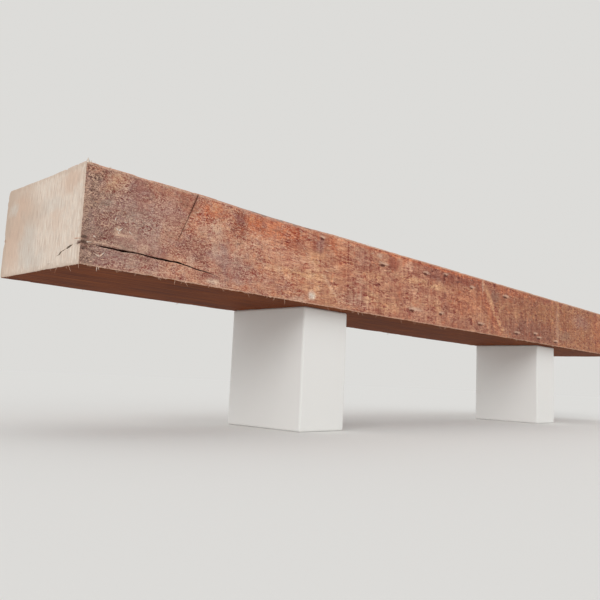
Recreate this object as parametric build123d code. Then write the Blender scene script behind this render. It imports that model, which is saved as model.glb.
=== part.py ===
"""Railway sleeper: one hardwood beam, sawn on four sides and cut off at both ends.

Sizes are in millimetres. X runs along the sleeper from its near end to its far end,
-Y is the long side that faces out, and Z points up from the face that it lies on.
"""
import math
import os

from build123d import *

# Sawn size
length = 2000.0
width = 230.0
thickness = 130.0

# Saw cuts out of square, in degrees
front_lean = 0.3
rear_lean = 0.5
near_end_skew = 0.4
far_end_skew = 0.6
far_end_lean = 0.5

# Arrises rounded by handling
front_top_radius = 2.0
front_bottom_radius = 2.5
rear_top_radius = 2.0
rear_bottom_radius = 3.0
end_radius = 1.0

# Wane left by the round log along the rear top arris, deepest at the near end
wane_depth = 6.0
wane_length = 1500.0
heart_forward = 20.0
heart_low = 15.0

# Hollow worn into the front top arris
wear_centre = 350.0
wear_length = 260.0
wear_depth = 3.5

# Drying check that opens the near end and runs back along the front side
check_height = 27.0
check_run = 235.0
check_reach = 76.0
check_gap = 1.8
check_tip_gap = 0.3
check_side_fall = 13.4
check_end_fall = 20.6
check_stations = 6

# Shallow step where two saw passes meet on the front side
step_top_place = 178.0
step_foot_place = 147.0
step_foot_height = 58.0
step_depth = 1.0
step_runout = 115.0

# How far a cutting shape passes beyond the surface that it cuts
overshoot = 3.0

near_end = -length / 2
far_end = length / 2
front = -width / 2
rear = width / 2


def slope(degrees):
    """Rise per unit of run at an angle."""
    return math.tan(math.radians(degrees))


def front_at(height):
    """Y of the leaning front side at a height."""
    return front + height * slope(front_lean)


def section_face():
    """Cross section of the beam, with its four corners rounded one by one."""
    rear_at_top = rear - thickness * slope(rear_lean)
    corner_radii = {
        (front, 0): front_bottom_radius,
        (rear, 0): rear_bottom_radius,
        (rear_at_top, thickness): rear_top_radius,
        (front_at(thickness), thickness): front_top_radius,
    }
    section = make_face(Polyline(*corner_radii, close=True))
    for corner, radius in corner_radii.items():
        section = fillet(section.vertices().sort_by_distance(corner)[0], radius)
    return section


def sawn_beam():
    """The beam with both ends cut off a little out of square and their edges eased."""
    beam = extrude(Plane.YZ * section_face(), amount=length / 2 + width, both=True)
    near_cut = Plane((near_end, front, 0), z_dir=(1, -slope(near_end_skew), 0))
    far_cut = Plane((far_end, rear, 0), z_dir=(-1, slope(far_end_skew), -slope(far_end_lean)))
    for cut in (near_cut, far_cut):
        beam = split(beam, bisect_by=cut, keep=Keep.TOP)
    end_faces = beam.faces().sort_by(Axis.X)
    return fillet(end_faces[0].edges() + end_faces[-1].edges(), end_radius)


def round_log():
    """The tapering log, which the beam just outgrows along its rear top arris."""
    heart_y = -heart_forward
    heart_z = thickness / 2 - heart_low
    corner_reach = math.hypot(rear - heart_y, thickness - heart_z)
    taper = wane_depth / wane_length
    near_radius = corner_reach - wane_depth - taper * overshoot
    log_length = length + 2 * overshoot
    base = Plane((near_end - overshoot, heart_y, heart_z), z_dir=(1, 0, 0))
    return Solid.make_cone(near_radius, near_radius + taper * log_length, log_length, base)


def wear_drum():
    """Wide drum, set across the front top arris, whose rim is the worn hollow."""
    radius = ((wear_length / 2) ** 2 + wear_depth**2) / (2 * wear_depth)
    along_drum = Vector(0, 1, 1).normalized()
    outward = Vector(0, -1, 1).normalized()
    arris = Vector(near_end + wear_centre, front_at(thickness), thickness)
    drum_centre = arris + outward * (radius - wear_depth)
    drum_width = thickness
    base = Plane(drum_centre - along_drum * drum_width / 2, x_dir=(1, 0, 0), z_dir=along_drum)
    return Solid.make_cylinder(radius, drum_width, base)


def step_wedge():
    """Thin wedge removed beside the step, deepest where the step meets the top."""
    foot = Vector(near_end + step_foot_place, front_at(step_foot_height), step_foot_height)
    top = Vector(near_end + step_top_place, front_at(thickness), thickness)
    runout = top + Vector(step_runout, 0, 0)
    beyond = 1 + 2 * overshoot / (thickness - step_foot_height)
    triangle = Polyline(
        foot,
        foot + (top - foot) * beyond,
        foot + (runout - foot) * beyond,
        close=True,
    )
    prism = extrude(make_face(triangle), amount=overshoot, both=True)
    deepest = top + Vector(0, step_depth, 0)
    facet = Plane(foot, z_dir=(runout - foot).cross(deepest - foot))
    return split(prism, bisect_by=facet, keep=Keep.TOP)


def check_section(along):
    """Outline of the open check at a distance from the near end, curving down inwards."""
    share = max(along, 0) / check_run
    mouth_z = check_height - check_side_fall * share**4
    mouth_y = front_at(mouth_z) - overshoot
    reach = overshoot + check_reach * math.sqrt(1 - share**2)
    fall = check_end_fall * (1 - share**2)
    gap = check_tip_gap + (check_gap - check_tip_gap) * (1 - share)
    middle_gap = (gap + check_tip_gap) / 2
    x = near_end + along

    def point(inward, drop):
        return Vector(x, mouth_y + reach * inward, mouth_z - drop)

    # Each wall is a parabola that leaves the mouth level
    upper = Bezier(
        point(0, -gap / 2),
        point(0.5, -middle_gap / 2),
        point(1, fall - check_tip_gap / 2),
    )
    lower = Bezier(
        point(1, fall + check_tip_gap / 2),
        point(0.5, middle_gap / 2),
        point(0, gap / 2),
    )
    tip = Line(upper @ 1, lower @ 0)
    mouth = Line(lower @ 1, upper @ 0)
    return Wire([upper.edge(), tip.edge(), lower.edge(), mouth.edge()])


def drying_check():
    """The check's open space, lofted along the beam until it rises out of the side."""
    places = [check_run * i / check_stations for i in range(1, check_stations + 1)]
    return Solid.make_loft([check_section(place) for place in [-overshoot, *places]])


def sleeper():
    """The whole sleeper, as one solid."""
    beam = sawn_beam() & round_log()
    for cutter in (wear_drum(), step_wedge(), drying_check()):
        beam = beam - cutter
    return beam.solid()


os.makedirs("parts", exist_ok=True)
export_step(sleeper(), "parts/sleeper.step")
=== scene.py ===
"""Looks of a sawn hardwood railway sleeper: rough sides, pale cut ends, worn arrises,
an open drying check and the fibres that the saw left standing."""

import math
import random
from types import SimpleNamespace

import bpy
import numpy as np
from bpy.props import FloatProperty, FloatVectorProperty, IntProperty, PointerProperty
from mathutils import Matrix, Vector, noise
from mathutils.bvhtree import BVHTree


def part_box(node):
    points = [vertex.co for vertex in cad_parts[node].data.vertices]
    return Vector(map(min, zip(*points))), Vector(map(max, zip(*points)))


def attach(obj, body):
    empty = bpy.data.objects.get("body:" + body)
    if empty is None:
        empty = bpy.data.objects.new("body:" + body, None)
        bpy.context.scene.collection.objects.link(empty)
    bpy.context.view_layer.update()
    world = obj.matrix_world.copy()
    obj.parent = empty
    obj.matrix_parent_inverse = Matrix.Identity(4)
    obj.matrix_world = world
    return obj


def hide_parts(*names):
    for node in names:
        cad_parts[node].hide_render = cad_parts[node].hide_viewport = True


bl_info = {
    "name": "Railway Sleeper",
    "version": (1, 0, 0),
    "blender": (4, 5, 0),
    "location": "3D View > Sidebar > Sleeper",
    "description": "Dresses a sawn hardwood railway sleeper and sets it in a plain studio",
    "category": "Object",
}

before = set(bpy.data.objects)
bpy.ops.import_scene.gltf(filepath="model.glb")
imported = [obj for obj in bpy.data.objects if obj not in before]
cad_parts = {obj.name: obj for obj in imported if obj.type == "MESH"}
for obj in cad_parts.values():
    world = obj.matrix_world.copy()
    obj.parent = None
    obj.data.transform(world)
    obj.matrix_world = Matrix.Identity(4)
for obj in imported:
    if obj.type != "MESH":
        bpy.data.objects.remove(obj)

NODE = "sleeper"
BODY = "root"

# Places on the beam are in millimetres from its near, front, bottom corner
MM = 0.001
LOW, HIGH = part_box(NODE)
SIZE = np.array(HIGH - LOW) / MM
LENGTH, WIDTH, THICKNESS = SIZE

# How far the saw cuts are out of square, in degrees, as in the solid
FRONT_LEAN = 0.3
REAR_LEAN = 0.5
NEAR_END_SKEW = 0.4
FAR_END_SKEW = 0.6
FAR_END_LEAN = 0.5

# Order of the four finishes in the timber's material slots
SIDE, END, TOP, BED = range(4)


def seen(red, green, blue):
    """Linear colour with alpha for a colour as a screen shows it, from 0 to 255."""
    def linear(value):
        share = value / 255
        return share / 12.92 if share <= 0.04045 else ((share + 0.055) / 1.055) ** 2.4

    return (linear(red), linear(green), linear(blue), 1.0)


def size_of(name, description, millimetres):
    """A length that the sidebar shows in scene units."""
    return FloatProperty(name=name, description=description, default=millimetres * MM, unit="LENGTH")


def level_of(name, description, strength):
    """The strength of a light."""
    return FloatProperty(name=name, description=description, default=strength, min=0.0)


def count_of(name, description, number):
    """A whole number."""
    return IntProperty(name=name, description=description, default=number, min=0)


def colour_of(name, description, red, green, blue):
    """A colour whose default is given as it is seen, from 0 to 255."""
    return FloatVectorProperty(
        name=name, description=description, subtype="COLOR", size=4, min=0.0, max=1.0,
        default=seen(red, green, blue),
    )


class SleeperMarks(bpy.types.PropertyGroup):
    """What time and the saw did to the beam."""

    check_height: size_of("Check height", "Height of the drying check at the near end", 27)
    check_run: size_of("Check run", "How far the check runs along the front side", 235)
    check_reach: size_of("Check reach", "How far the check runs across the near end", 76)
    check_gap: size_of("Check gap", "Opening of the check at the corner", 1.8)
    check_depth: size_of("Check depth", "How deep the open check goes in", 30)
    check_side_fall: size_of("Check side fall", "How far it drops along the side", 13.4)
    check_end_fall: size_of("Check end fall", "How far it drops across the end", 20.6)
    step_foot: size_of("Step foot", "Place of the saw step's lower end", 147)
    step_top: size_of("Step top", "Place of the saw step's upper end", 178)
    step_foot_height: size_of("Step foot height", "Height of the step's lower end", 58)
    step_depth: size_of("Step depth", "How far the face sinks beside the step", 1.0)
    step_runout: size_of("Step run-out", "Length over which the step fades", 115)
    slit_depth: size_of("Slit depth", "Depth of the torn slit at the step", 2.2)
    wear_centre: size_of("Wear centre", "Middle of the hollow in the top arris", 350)
    wear_length: size_of("Wear length", "Length of the hollow in the top arris", 260)
    wear_depth: size_of("Wear depth", "Depth of the hollow in the top arris", 3.5)
    wane_depth: size_of("Wane depth", "Depth of the wane at the near end", 6)
    wane_length: size_of("Wane length", "Length over which the wane runs out", 1500)
    heart_forward: size_of("Heart forward", "How far the log's heart is before the middle", 20)
    heart_low: size_of("Heart low", "How far the log's heart is below the middle", 15)


class SleeperRelief(bpy.types.PropertyGroup):
    """Mesh lines and relief of the sawn faces."""

    near_gap: size_of("Near gap", "Gap between mesh lines near the near end", 2.9)
    far_gap: size_of("Far gap", "Gap between mesh lines further along", 5.6)
    side_gap: size_of("Side gap", "Gap between mesh lines up the sides", 3.6)
    bed_gap: size_of("Bed gap", "Gap between mesh lines across top and bed", 6.4)
    arris_radius: size_of("Arris radius", "Radius of an arris that is not worn", 1.3)
    chip_radius: size_of("Chip radius", "Extra radius where an arris is chipped", 3.4)
    torn_grain: size_of("Torn grain", "Height of the torn grain", 0.9)
    saw_wash: size_of("Saw wash", "Height of the ridges across the sides", 0.35)
    unevenness: size_of("Unevenness", "Height of the long waves in a face", 1.2)
    proud: size_of("Proud", "How far the highest fibres stand above the sawn plane", 1.2)
    cupping: size_of("Cupping", "How far the top's front arris has risen in drying", 1.9)


class SleeperFibres(bpy.types.PropertyGroup):
    """Hairs and slivers that stand off the sawn faces."""

    hairs: count_of("Hairs", "Hairs along the arrises", 420)
    slivers: count_of("Slivers", "Slivers on the sides", 420)
    hair_length: size_of("Hair length", "Length of the longest hairs", 13)
    hair_width: size_of("Hair width", "Thickness of a hair at its root", 0.5)
    sliver_length: size_of("Sliver length", "Length of the longest slivers", 13)
    sliver_width: size_of("Sliver width", "Width of a sliver", 1.5)
    seed: count_of("Seed", "Start of the random draws", 7)


class SleeperColours(bpy.types.PropertyGroup):
    """Colours of the wood, as they are seen in even light."""

    heartwood: colour_of("Heartwood", "Middle tone of the sawn side", 192, 132, 105)
    oxblood: colour_of("Oxblood", "Dark red grain and stains", 154, 82, 62)
    orange: colour_of("Orange", "Freshly sawn orange patches", 207, 112, 71)
    tan: colour_of("Tan", "Yellowish tan patches", 212, 154, 114)
    mauve: colour_of("Mauve", "Weathered mauve patches", 158, 125, 121)
    blush: colour_of("Blush", "Pinkish pale patches", 214, 156, 130)
    ash: colour_of("Ash", "Greyest weathered patches", 172, 144, 131)
    plum: colour_of("Plum", "Dark mauve red patches", 144, 92, 84)
    grime: colour_of("Grime", "Grey brown dirt beside the near end", 148, 123, 107)
    # Also the painted shade at the edges of the check and the slit, in the broken corner and by the
    # bottom arris
    shade: colour_of("Shade", "Knots and pits", 96, 44, 30)
    pale: colour_of("Pale", "Torn pale fibres", 226, 188, 162)
    # Also the painted shade deep in the check and the slit, and in the broken corner
    pore: colour_of("Pore", "Open pores, knots and cracks", 42, 22, 17)
    end: colour_of("Cut end", "Pale cut end", 230, 214, 199)
    end_line: colour_of("End line", "Saw lines on the cut end", 194, 172, 154)
    end_warm: colour_of("End warm", "Warm patches on the cut end", 216, 184, 162)
    end_cool: colour_of("End cool", "Cool grey patches on the cut end", 208, 200, 190)
    end_edge: colour_of("End edge", "Dirty border of the cut end", 192, 166, 146)
    dust: colour_of("Dust", "Grey dust on the top", 162, 152, 140)
    # The bed's three colours are darker in part as painted shade of the face that looks down
    bed: colour_of("Bed", "Smooth orange brown bed face", 122, 61, 27)
    bed_dark: colour_of("Bed dark", "Dark streaks on the bed face", 84, 40, 21)
    bed_pale: colour_of("Bed pale", "Pale streaks on the bed face", 144, 82, 44)
    umber: colour_of("Umber", "Brown of the far half", 168, 108, 72)


class SleeperStudio(bpy.types.PropertyGroup):
    """Floor, blocks, lamps and camera."""

    floor_drop: size_of("Floor drop", "Height of the blocks under the beam", 220)
    floor: colour_of("Floor", "Floor and blocks", 236, 235, 232)
    sky: level_of("Sky", "Strength of the even light", 0.75)
    backdrop: level_of("Backdrop", "Strength of the backdrop", 0.86)
    key: level_of("Key", "Strength of the soft sun", 0.8)
    fill: level_of("Fill", "Strength of the low sun", 0.42)
    lens: FloatProperty(name="Lens", description="Focal length", default=39.6, unit="CAMERA")


def in_millimetres(settings):
    """The values of a settings group under their own names, its lengths in millimetres."""
    values = {}
    for name in type(settings).__annotations__:
        value = getattr(settings, name)
        is_length = settings.bl_rna.properties[name].unit == "LENGTH"
        values[name] = value / MM if is_length else value
    return SimpleNamespace(**values)


def slope(degrees):
    """Rise per unit of run at an angle."""
    return math.tan(math.radians(degrees))


def ease(low, high, value):
    """Smooth step from 0 at low to 1 at high."""
    share = np.clip((value - low) / (high - low), 0, 1)
    return share * share * (3 - 2 * share)


# A stretch along which noise doesn't change
ENDLESS = 1e6


def rough(points, stretch, shift, octaves):
    """Noise from about -1 to 1 at each point, stretched by a length along each axis."""
    fade, finer = 0.8, 2.1
    scaled = (points / np.array(stretch, float) + shift).tolist()
    return np.array([noise.fractal(point, fade, finer, octaves) for point in scaled])


def spaced(start, stop, finest, widest, fine_start=True, fine_stop=True):
    """Places from start to stop, close together at a fine end and widest apart elsewhere."""
    growth, samples = 0.35, 4000
    places = np.linspace(start, stop, samples)
    edge_distance = np.full_like(places, stop - start)
    if fine_start:
        edge_distance = np.minimum(edge_distance, places - start)
    if fine_stop:
        edge_distance = np.minimum(edge_distance, stop - places)
    gap = np.minimum(finest + growth * edge_distance, widest(places))
    count = np.concatenate(([0.0], np.cumsum(2 * np.diff(places) / (gap[1:] + gap[:-1]))))
    steps = max(round(count[-1]), 1)
    return np.interp(np.linspace(0, count[-1], steps + 1), count, places)


class Lattice:
    """Mesh lines of the beam along its three directions, and the vertices where they meet."""

    # Half the gap between the three lines that carry the check or the step where it is closed
    check_line_gap = 1.5
    step_line_gap = 0.8

    finest_share = 0.4
    end_share = 0.7
    spread_share = 0.55

    def __init__(self, marks, relief):
        self.check_at = marks.check_height
        self.step_at = (marks.step_foot + marks.step_top) / 2
        finest = relief.arris_radius * self.finest_share

        def along(x):
            spread = np.clip(x / (LENGTH * self.spread_share), 0, 1)
            return relief.near_gap + (relief.far_gap - relief.near_gap) * spread

        def up(z):
            return np.full_like(z, relief.side_gap)

        def across(y):
            on_check = y < marks.check_reach
            return np.where(on_check, relief.side_gap * self.end_share, relief.bed_gap)

        def split(place, gap, size, widest):
            before = spaced(0, place - gap, finest, widest, fine_stop=False)
            after = spaced(place + gap, size, finest, widest, fine_start=False)
            return np.concatenate((before, [place], after)), len(before)

        self.x, self.step_line = split(self.step_at, self.step_line_gap, LENGTH, along)
        self.z, self.check_line = split(self.check_at, self.check_line_gap, THICKNESS, up)
        self.y = spaced(0, WIDTH, finest, across)

        skin = np.zeros((len(self.x), len(self.y), len(self.z)), bool)
        skin[[0, -1]] = True
        skin[:, [0, -1]] = True
        skin[:, :, [0, -1]] = True
        self.number = np.full(skin.shape, -1)
        self.number[skin] = np.arange(skin.sum())
        self.i, self.j, self.k = np.nonzero(skin)
        self.place = np.stack((self.x[self.i], self.y[self.j], self.z[self.k]), axis=1)
        self.on_front = self.j == 0
        self.on_rear = self.j == len(self.y) - 1

    def quads(self):
        """Faces of the six sides, with normals outwards, and the finish of each."""
        sheets = (
            (self.number[:, 0], SIDE, False),
            (self.number[:, -1], SIDE, True),
            (self.number[0], END, True),
            (self.number[-1], END, False),
            (self.number[:, :, -1], TOP, False),
            (self.number[:, :, 0], BED, True),
        )
        faces, finishes = [], []
        for sheet, finish, turned in sheets:
            corners = [sheet[:-1, :-1], sheet[1:, :-1], sheet[1:, 1:], sheet[:-1, 1:]]
            quads = np.stack([corner.ravel() for corner in corners], axis=1)
            faces.append(quads[:, ::-1] if turned else quads)
            finishes.append(np.full(len(quads), finish))
        return np.concatenate(faces), np.concatenate(finishes)


# How wide the check gapes, as a share of its full opening, at distances from the near corner
CHECK_OPENING_ACROSS = (
    (0, 0.5), (6, 0.4), (9, 0.1), (17, 0.1), (21, 0.9), (24, 1.6), (28, 1.3), (31, 0.5),
    (34, 0.2), (38, 0.45), (43, 0.3), (47, 1.3), (50, 1.6), (54, 0.6), (60, 0.25), (66, 0.05),
)
CHECK_OPENING_ALONG = (
    (0, 0.3), (22, 0.5), (30, 1.3), (62, 1.7), (80, 1.1), (95, 1.1), (110, 1.5),
    (140, 1.7), (158, 1.1), (172, 0.7), (185, 0.9), (205, 0.7), (215, 0.3), (235, 0.05),
)


def check_opening(place, on_end):
    """Half width of the check's opening, as a share of its full one, with ragged lips."""
    ragged = rough(place, (9, 6, ENDLESS), 5.3, 2)
    across = np.interp(place[:, 1], *zip(*CHECK_OPENING_ACROSS)) * (1 + 1.8 * ragged)
    along = np.interp(place[:, 0], *zip(*CHECK_OPENING_ALONG)) * (1 + 0.3 * ragged)
    return np.clip(np.where(on_end, across, along), 0.05, None)


def check_drop(place, marks):
    """How far the check has fallen below its height at the near corner."""
    x, y = place[:, 0], place[:, 1]
    side = marks.check_side_fall * np.clip(x / marks.check_run, 0, 1) ** 4
    end = marks.check_end_fall * np.clip(y / marks.check_reach, 0, 1) ** 2
    side *= 1 - ease(marks.check_run, 3 * marks.check_run, x)
    end *= 1 - ease(marks.check_reach, WIDTH, y)
    wander = rough(place, (34, 22, ENDLESS), 3.1, 2)
    wander += (0.25 + 0.95 * ease(0, 6, y)) * rough(place, (8, 4, ENDLESS), 8.7, 2)
    open_share = np.clip(1 - np.maximum(x / marks.check_run, y / marks.check_reach), 0, 1)
    return side + end - 1.3 * wander * ease(0, 0.15, open_share)


def above_foot(place, marks):
    """How far up a place is between the saw step's foot, 0, and the top arris, 1."""
    return (place[:, 2] - marks.step_foot_height) / (THICKNESS - marks.step_foot_height)


def follow_marks(lattice, marks):
    """Bends the mesh lines so that some of them run along the check and the step."""
    place = lattice.place.copy()
    spread = 60
    lean = marks.step_top - marks.step_foot
    slant = marks.step_foot + lean * np.clip(above_foot(place, marks), -0.2, 1) - lattice.step_at
    distance = np.abs(place[:, 0] - lattice.step_at) + place[:, 1]
    place[:, 0] += slant * np.clip(1 - distance / spread, 0, 1)

    z, height = place[:, 2], lattice.check_at
    share = np.where(z < height, z / height, (THICKNESS - z) / (THICKNESS - height))
    drop = check_drop(place, marks)
    place[:, 2] = z - drop * share
    on_end = place[:, 1] > place[:, 0]
    open_gap = marks.check_gap / 2 * check_opening(place, on_end)
    along = np.maximum(place[:, 0] / marks.check_run, place[:, 1] / marks.check_reach)
    half_gap = open_gap + (lattice.check_line_gap - open_gap) * ease(1.0, 1.15, along)
    for side in (-1, 1):
        lip = lattice.k == lattice.check_line + side
        place[lip, 2] = (height - drop + side * half_gap)[lip]
    return place


def arris_radius(place, relief):
    """Radius of the arris nearest to each place, larger where it is chipped."""
    radius = relief.arris_radius * (1 + 0.5 * rough(place, (70, 50, 50), 1.7, 2))
    chips = ease(0.1, 0.7, rough(place, (26, 16, 16), 9.2, 3))
    return radius + relief.chip_radius * chips


def round_over(place, radius):
    """Rounds the arrises of the plain box, and gives each place's normal."""
    room = radius[:, None]
    core = np.clip(place, room, SIZE - room)
    normal = place - core
    normal /= np.linalg.norm(normal, axis=1)[:, None]
    return core + normal * room, normal


def cut_by_log(place, marks):
    """Brings what stands outside the round log in to its surface, which leaves the wane."""
    heart = np.array((WIDTH / 2 - marks.heart_forward, THICKNESS / 2 - marks.heart_low))
    corner = np.linalg.norm(SIZE[1:] - heart)
    left = 1 - place[:, 0] / marks.wane_length
    radius = corner - marks.wane_depth * left + 0.9 * rough(place, (40, 7, 7), 3.3, 3)
    out = place[:, 1:] - heart
    reach = np.linalg.norm(out, axis=1)
    at_rear_top = (place[:, 1] > WIDTH / 2) & (place[:, 2] > THICKNESS / 2)
    share = np.where(at_rear_top, np.clip(radius / reach, 0, 1), 1)
    place[:, 1:] = heart + out * share[:, None]


def press_hollow(place, marks):
    """Presses the worn hollow into the front top arris."""
    half, depth = marks.wear_length / 2, marks.wear_depth
    radius = (half**2 + depth**2) / (2 * depth)
    along = np.clip(place[:, 0] - marks.wear_centre, -half, half)
    limit = radius - depth - np.sqrt(radius**2 - along**2)
    out = (place[:, 2] - THICKNESS - place[:, 1]) / math.sqrt(2)
    excess = np.clip(out - limit - 0.3 * rough(place, (25, 6, 6), 5.8, 2), 0, None)
    excess *= np.abs(along) < half
    place[:, 1] += excess / math.sqrt(2)
    place[:, 2] -= excess / math.sqrt(2)


def face_relief(place, normal, relief):
    """How far the sawn faces lie below their planes, or above them where it is negative."""
    saw_pitch = 19
    on_end, on_side, _ = np.abs(normal.T)
    on_top = np.clip(normal[:, 2], 0, 1)
    torn = rough(place, (30, 8, 8), 2.4, 4)
    torn_more = ease(-0.2, 0.5, rough(place, (160, 60, 60), 6.6, 2))
    long_waves = rough(place, (420, 150, 150), 4.9, 2)
    turn = place[:, 0] * 2 * math.pi / saw_pitch + 3 * rough(place, (90, 90, 90), 7.5, 2)
    wash = (0.5 + 0.5 * np.sin(turn)) * on_side * ease(500, 1000, place[:, 0])
    depth = relief.torn_grain * (0.35 + 0.65 * torn_more) * (0.5 + 0.5 * torn)
    depth *= 1 - 0.75 * on_end
    depth += relief.saw_wash * wash
    depth += relief.unevenness * (0.5 + 0.5 * long_waves) * (1 - on_end)
    cupped = relief.cupping * on_top * (1 - ease(0, WIDTH * 0.6, place[:, 1]))
    return np.clip(depth, 0, None) - relief.proud - cupped


def step_relief(place, lattice, marks):
    """How far the front side sinks beside the saw step, and in the torn slit along it."""
    above = above_foot(place, marks)
    lean = marks.step_top - marks.step_foot
    beyond = (place[:, 0] - marks.step_foot - lean * above) / marks.step_runout
    sunk = marks.step_depth * np.clip(above - beyond, 0, None) * (above > 0)
    slit = marks.slit_depth * ease(-0.02, 0.12, above)
    past, on_line = lattice.i > lattice.step_line, lattice.i == lattice.step_line
    return np.select([past, on_line], [sunk, sunk + slit], 0) * lattice.on_front


def step_shade(place, lattice, marks):
    """Darkness of the torn slit, on its own mesh line and a little on the lines beside it."""
    above = above_foot(place, marks)
    beside = np.abs(lattice.i - lattice.step_line)
    shown = ease(-0.25, 0.05, above) * (0.5 + 0.5 * ease(0.4, 0.75, above))
    return np.select([beside == 0, beside == 1], [0.17, 0.07], 0) * shown * lattice.on_front


def open_check(place, lattice, marks):
    """Takes the check's middle line from the surface into the wood, and gives its vertices."""
    run, reach, depth = marks.check_run, marks.check_reach, marks.check_depth
    x, y = lattice.place[:, 0], lattice.place[:, 1]
    middle = lattice.k == lattice.check_line
    on_side = middle & lattice.on_front & (x < run)
    on_end = middle & (lattice.i == 0) & (y < reach)
    along, across = x / run, y / reach
    inner_x = np.where(on_side, depth + (run - depth) * along, depth * (1 - across**2))
    inner_y = np.where(on_end, depth + (reach - depth) * across, depth * (1 - along**2))
    deeper = np.where(on_end, 0, marks.check_end_fall * (inner_y / reach) ** 2)
    inside = on_side | on_end
    place[inside] = np.stack((inner_x, inner_y, place[:, 2] - deeper), axis=1)[inside]
    return inside


def out_of_square(place):
    """Leans the faces and skews the ends as the solid's are."""
    x, y, z = place.T
    to_rear = y / WIDTH
    to_far = x / LENGTH
    front_shift = z * slope(FRONT_LEAN) * (1 - to_rear)
    rear_shift = z * slope(REAR_LEAN) * to_rear
    near_shift = y * slope(NEAR_END_SKEW) * (1 - to_far)
    far_shift = ((WIDTH - y) * slope(FAR_END_SKEW) + z * slope(FAR_END_LEAN)) * to_far
    return np.stack((x + near_shift - far_shift, y + front_shift - rear_shift, z), axis=1)
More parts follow.
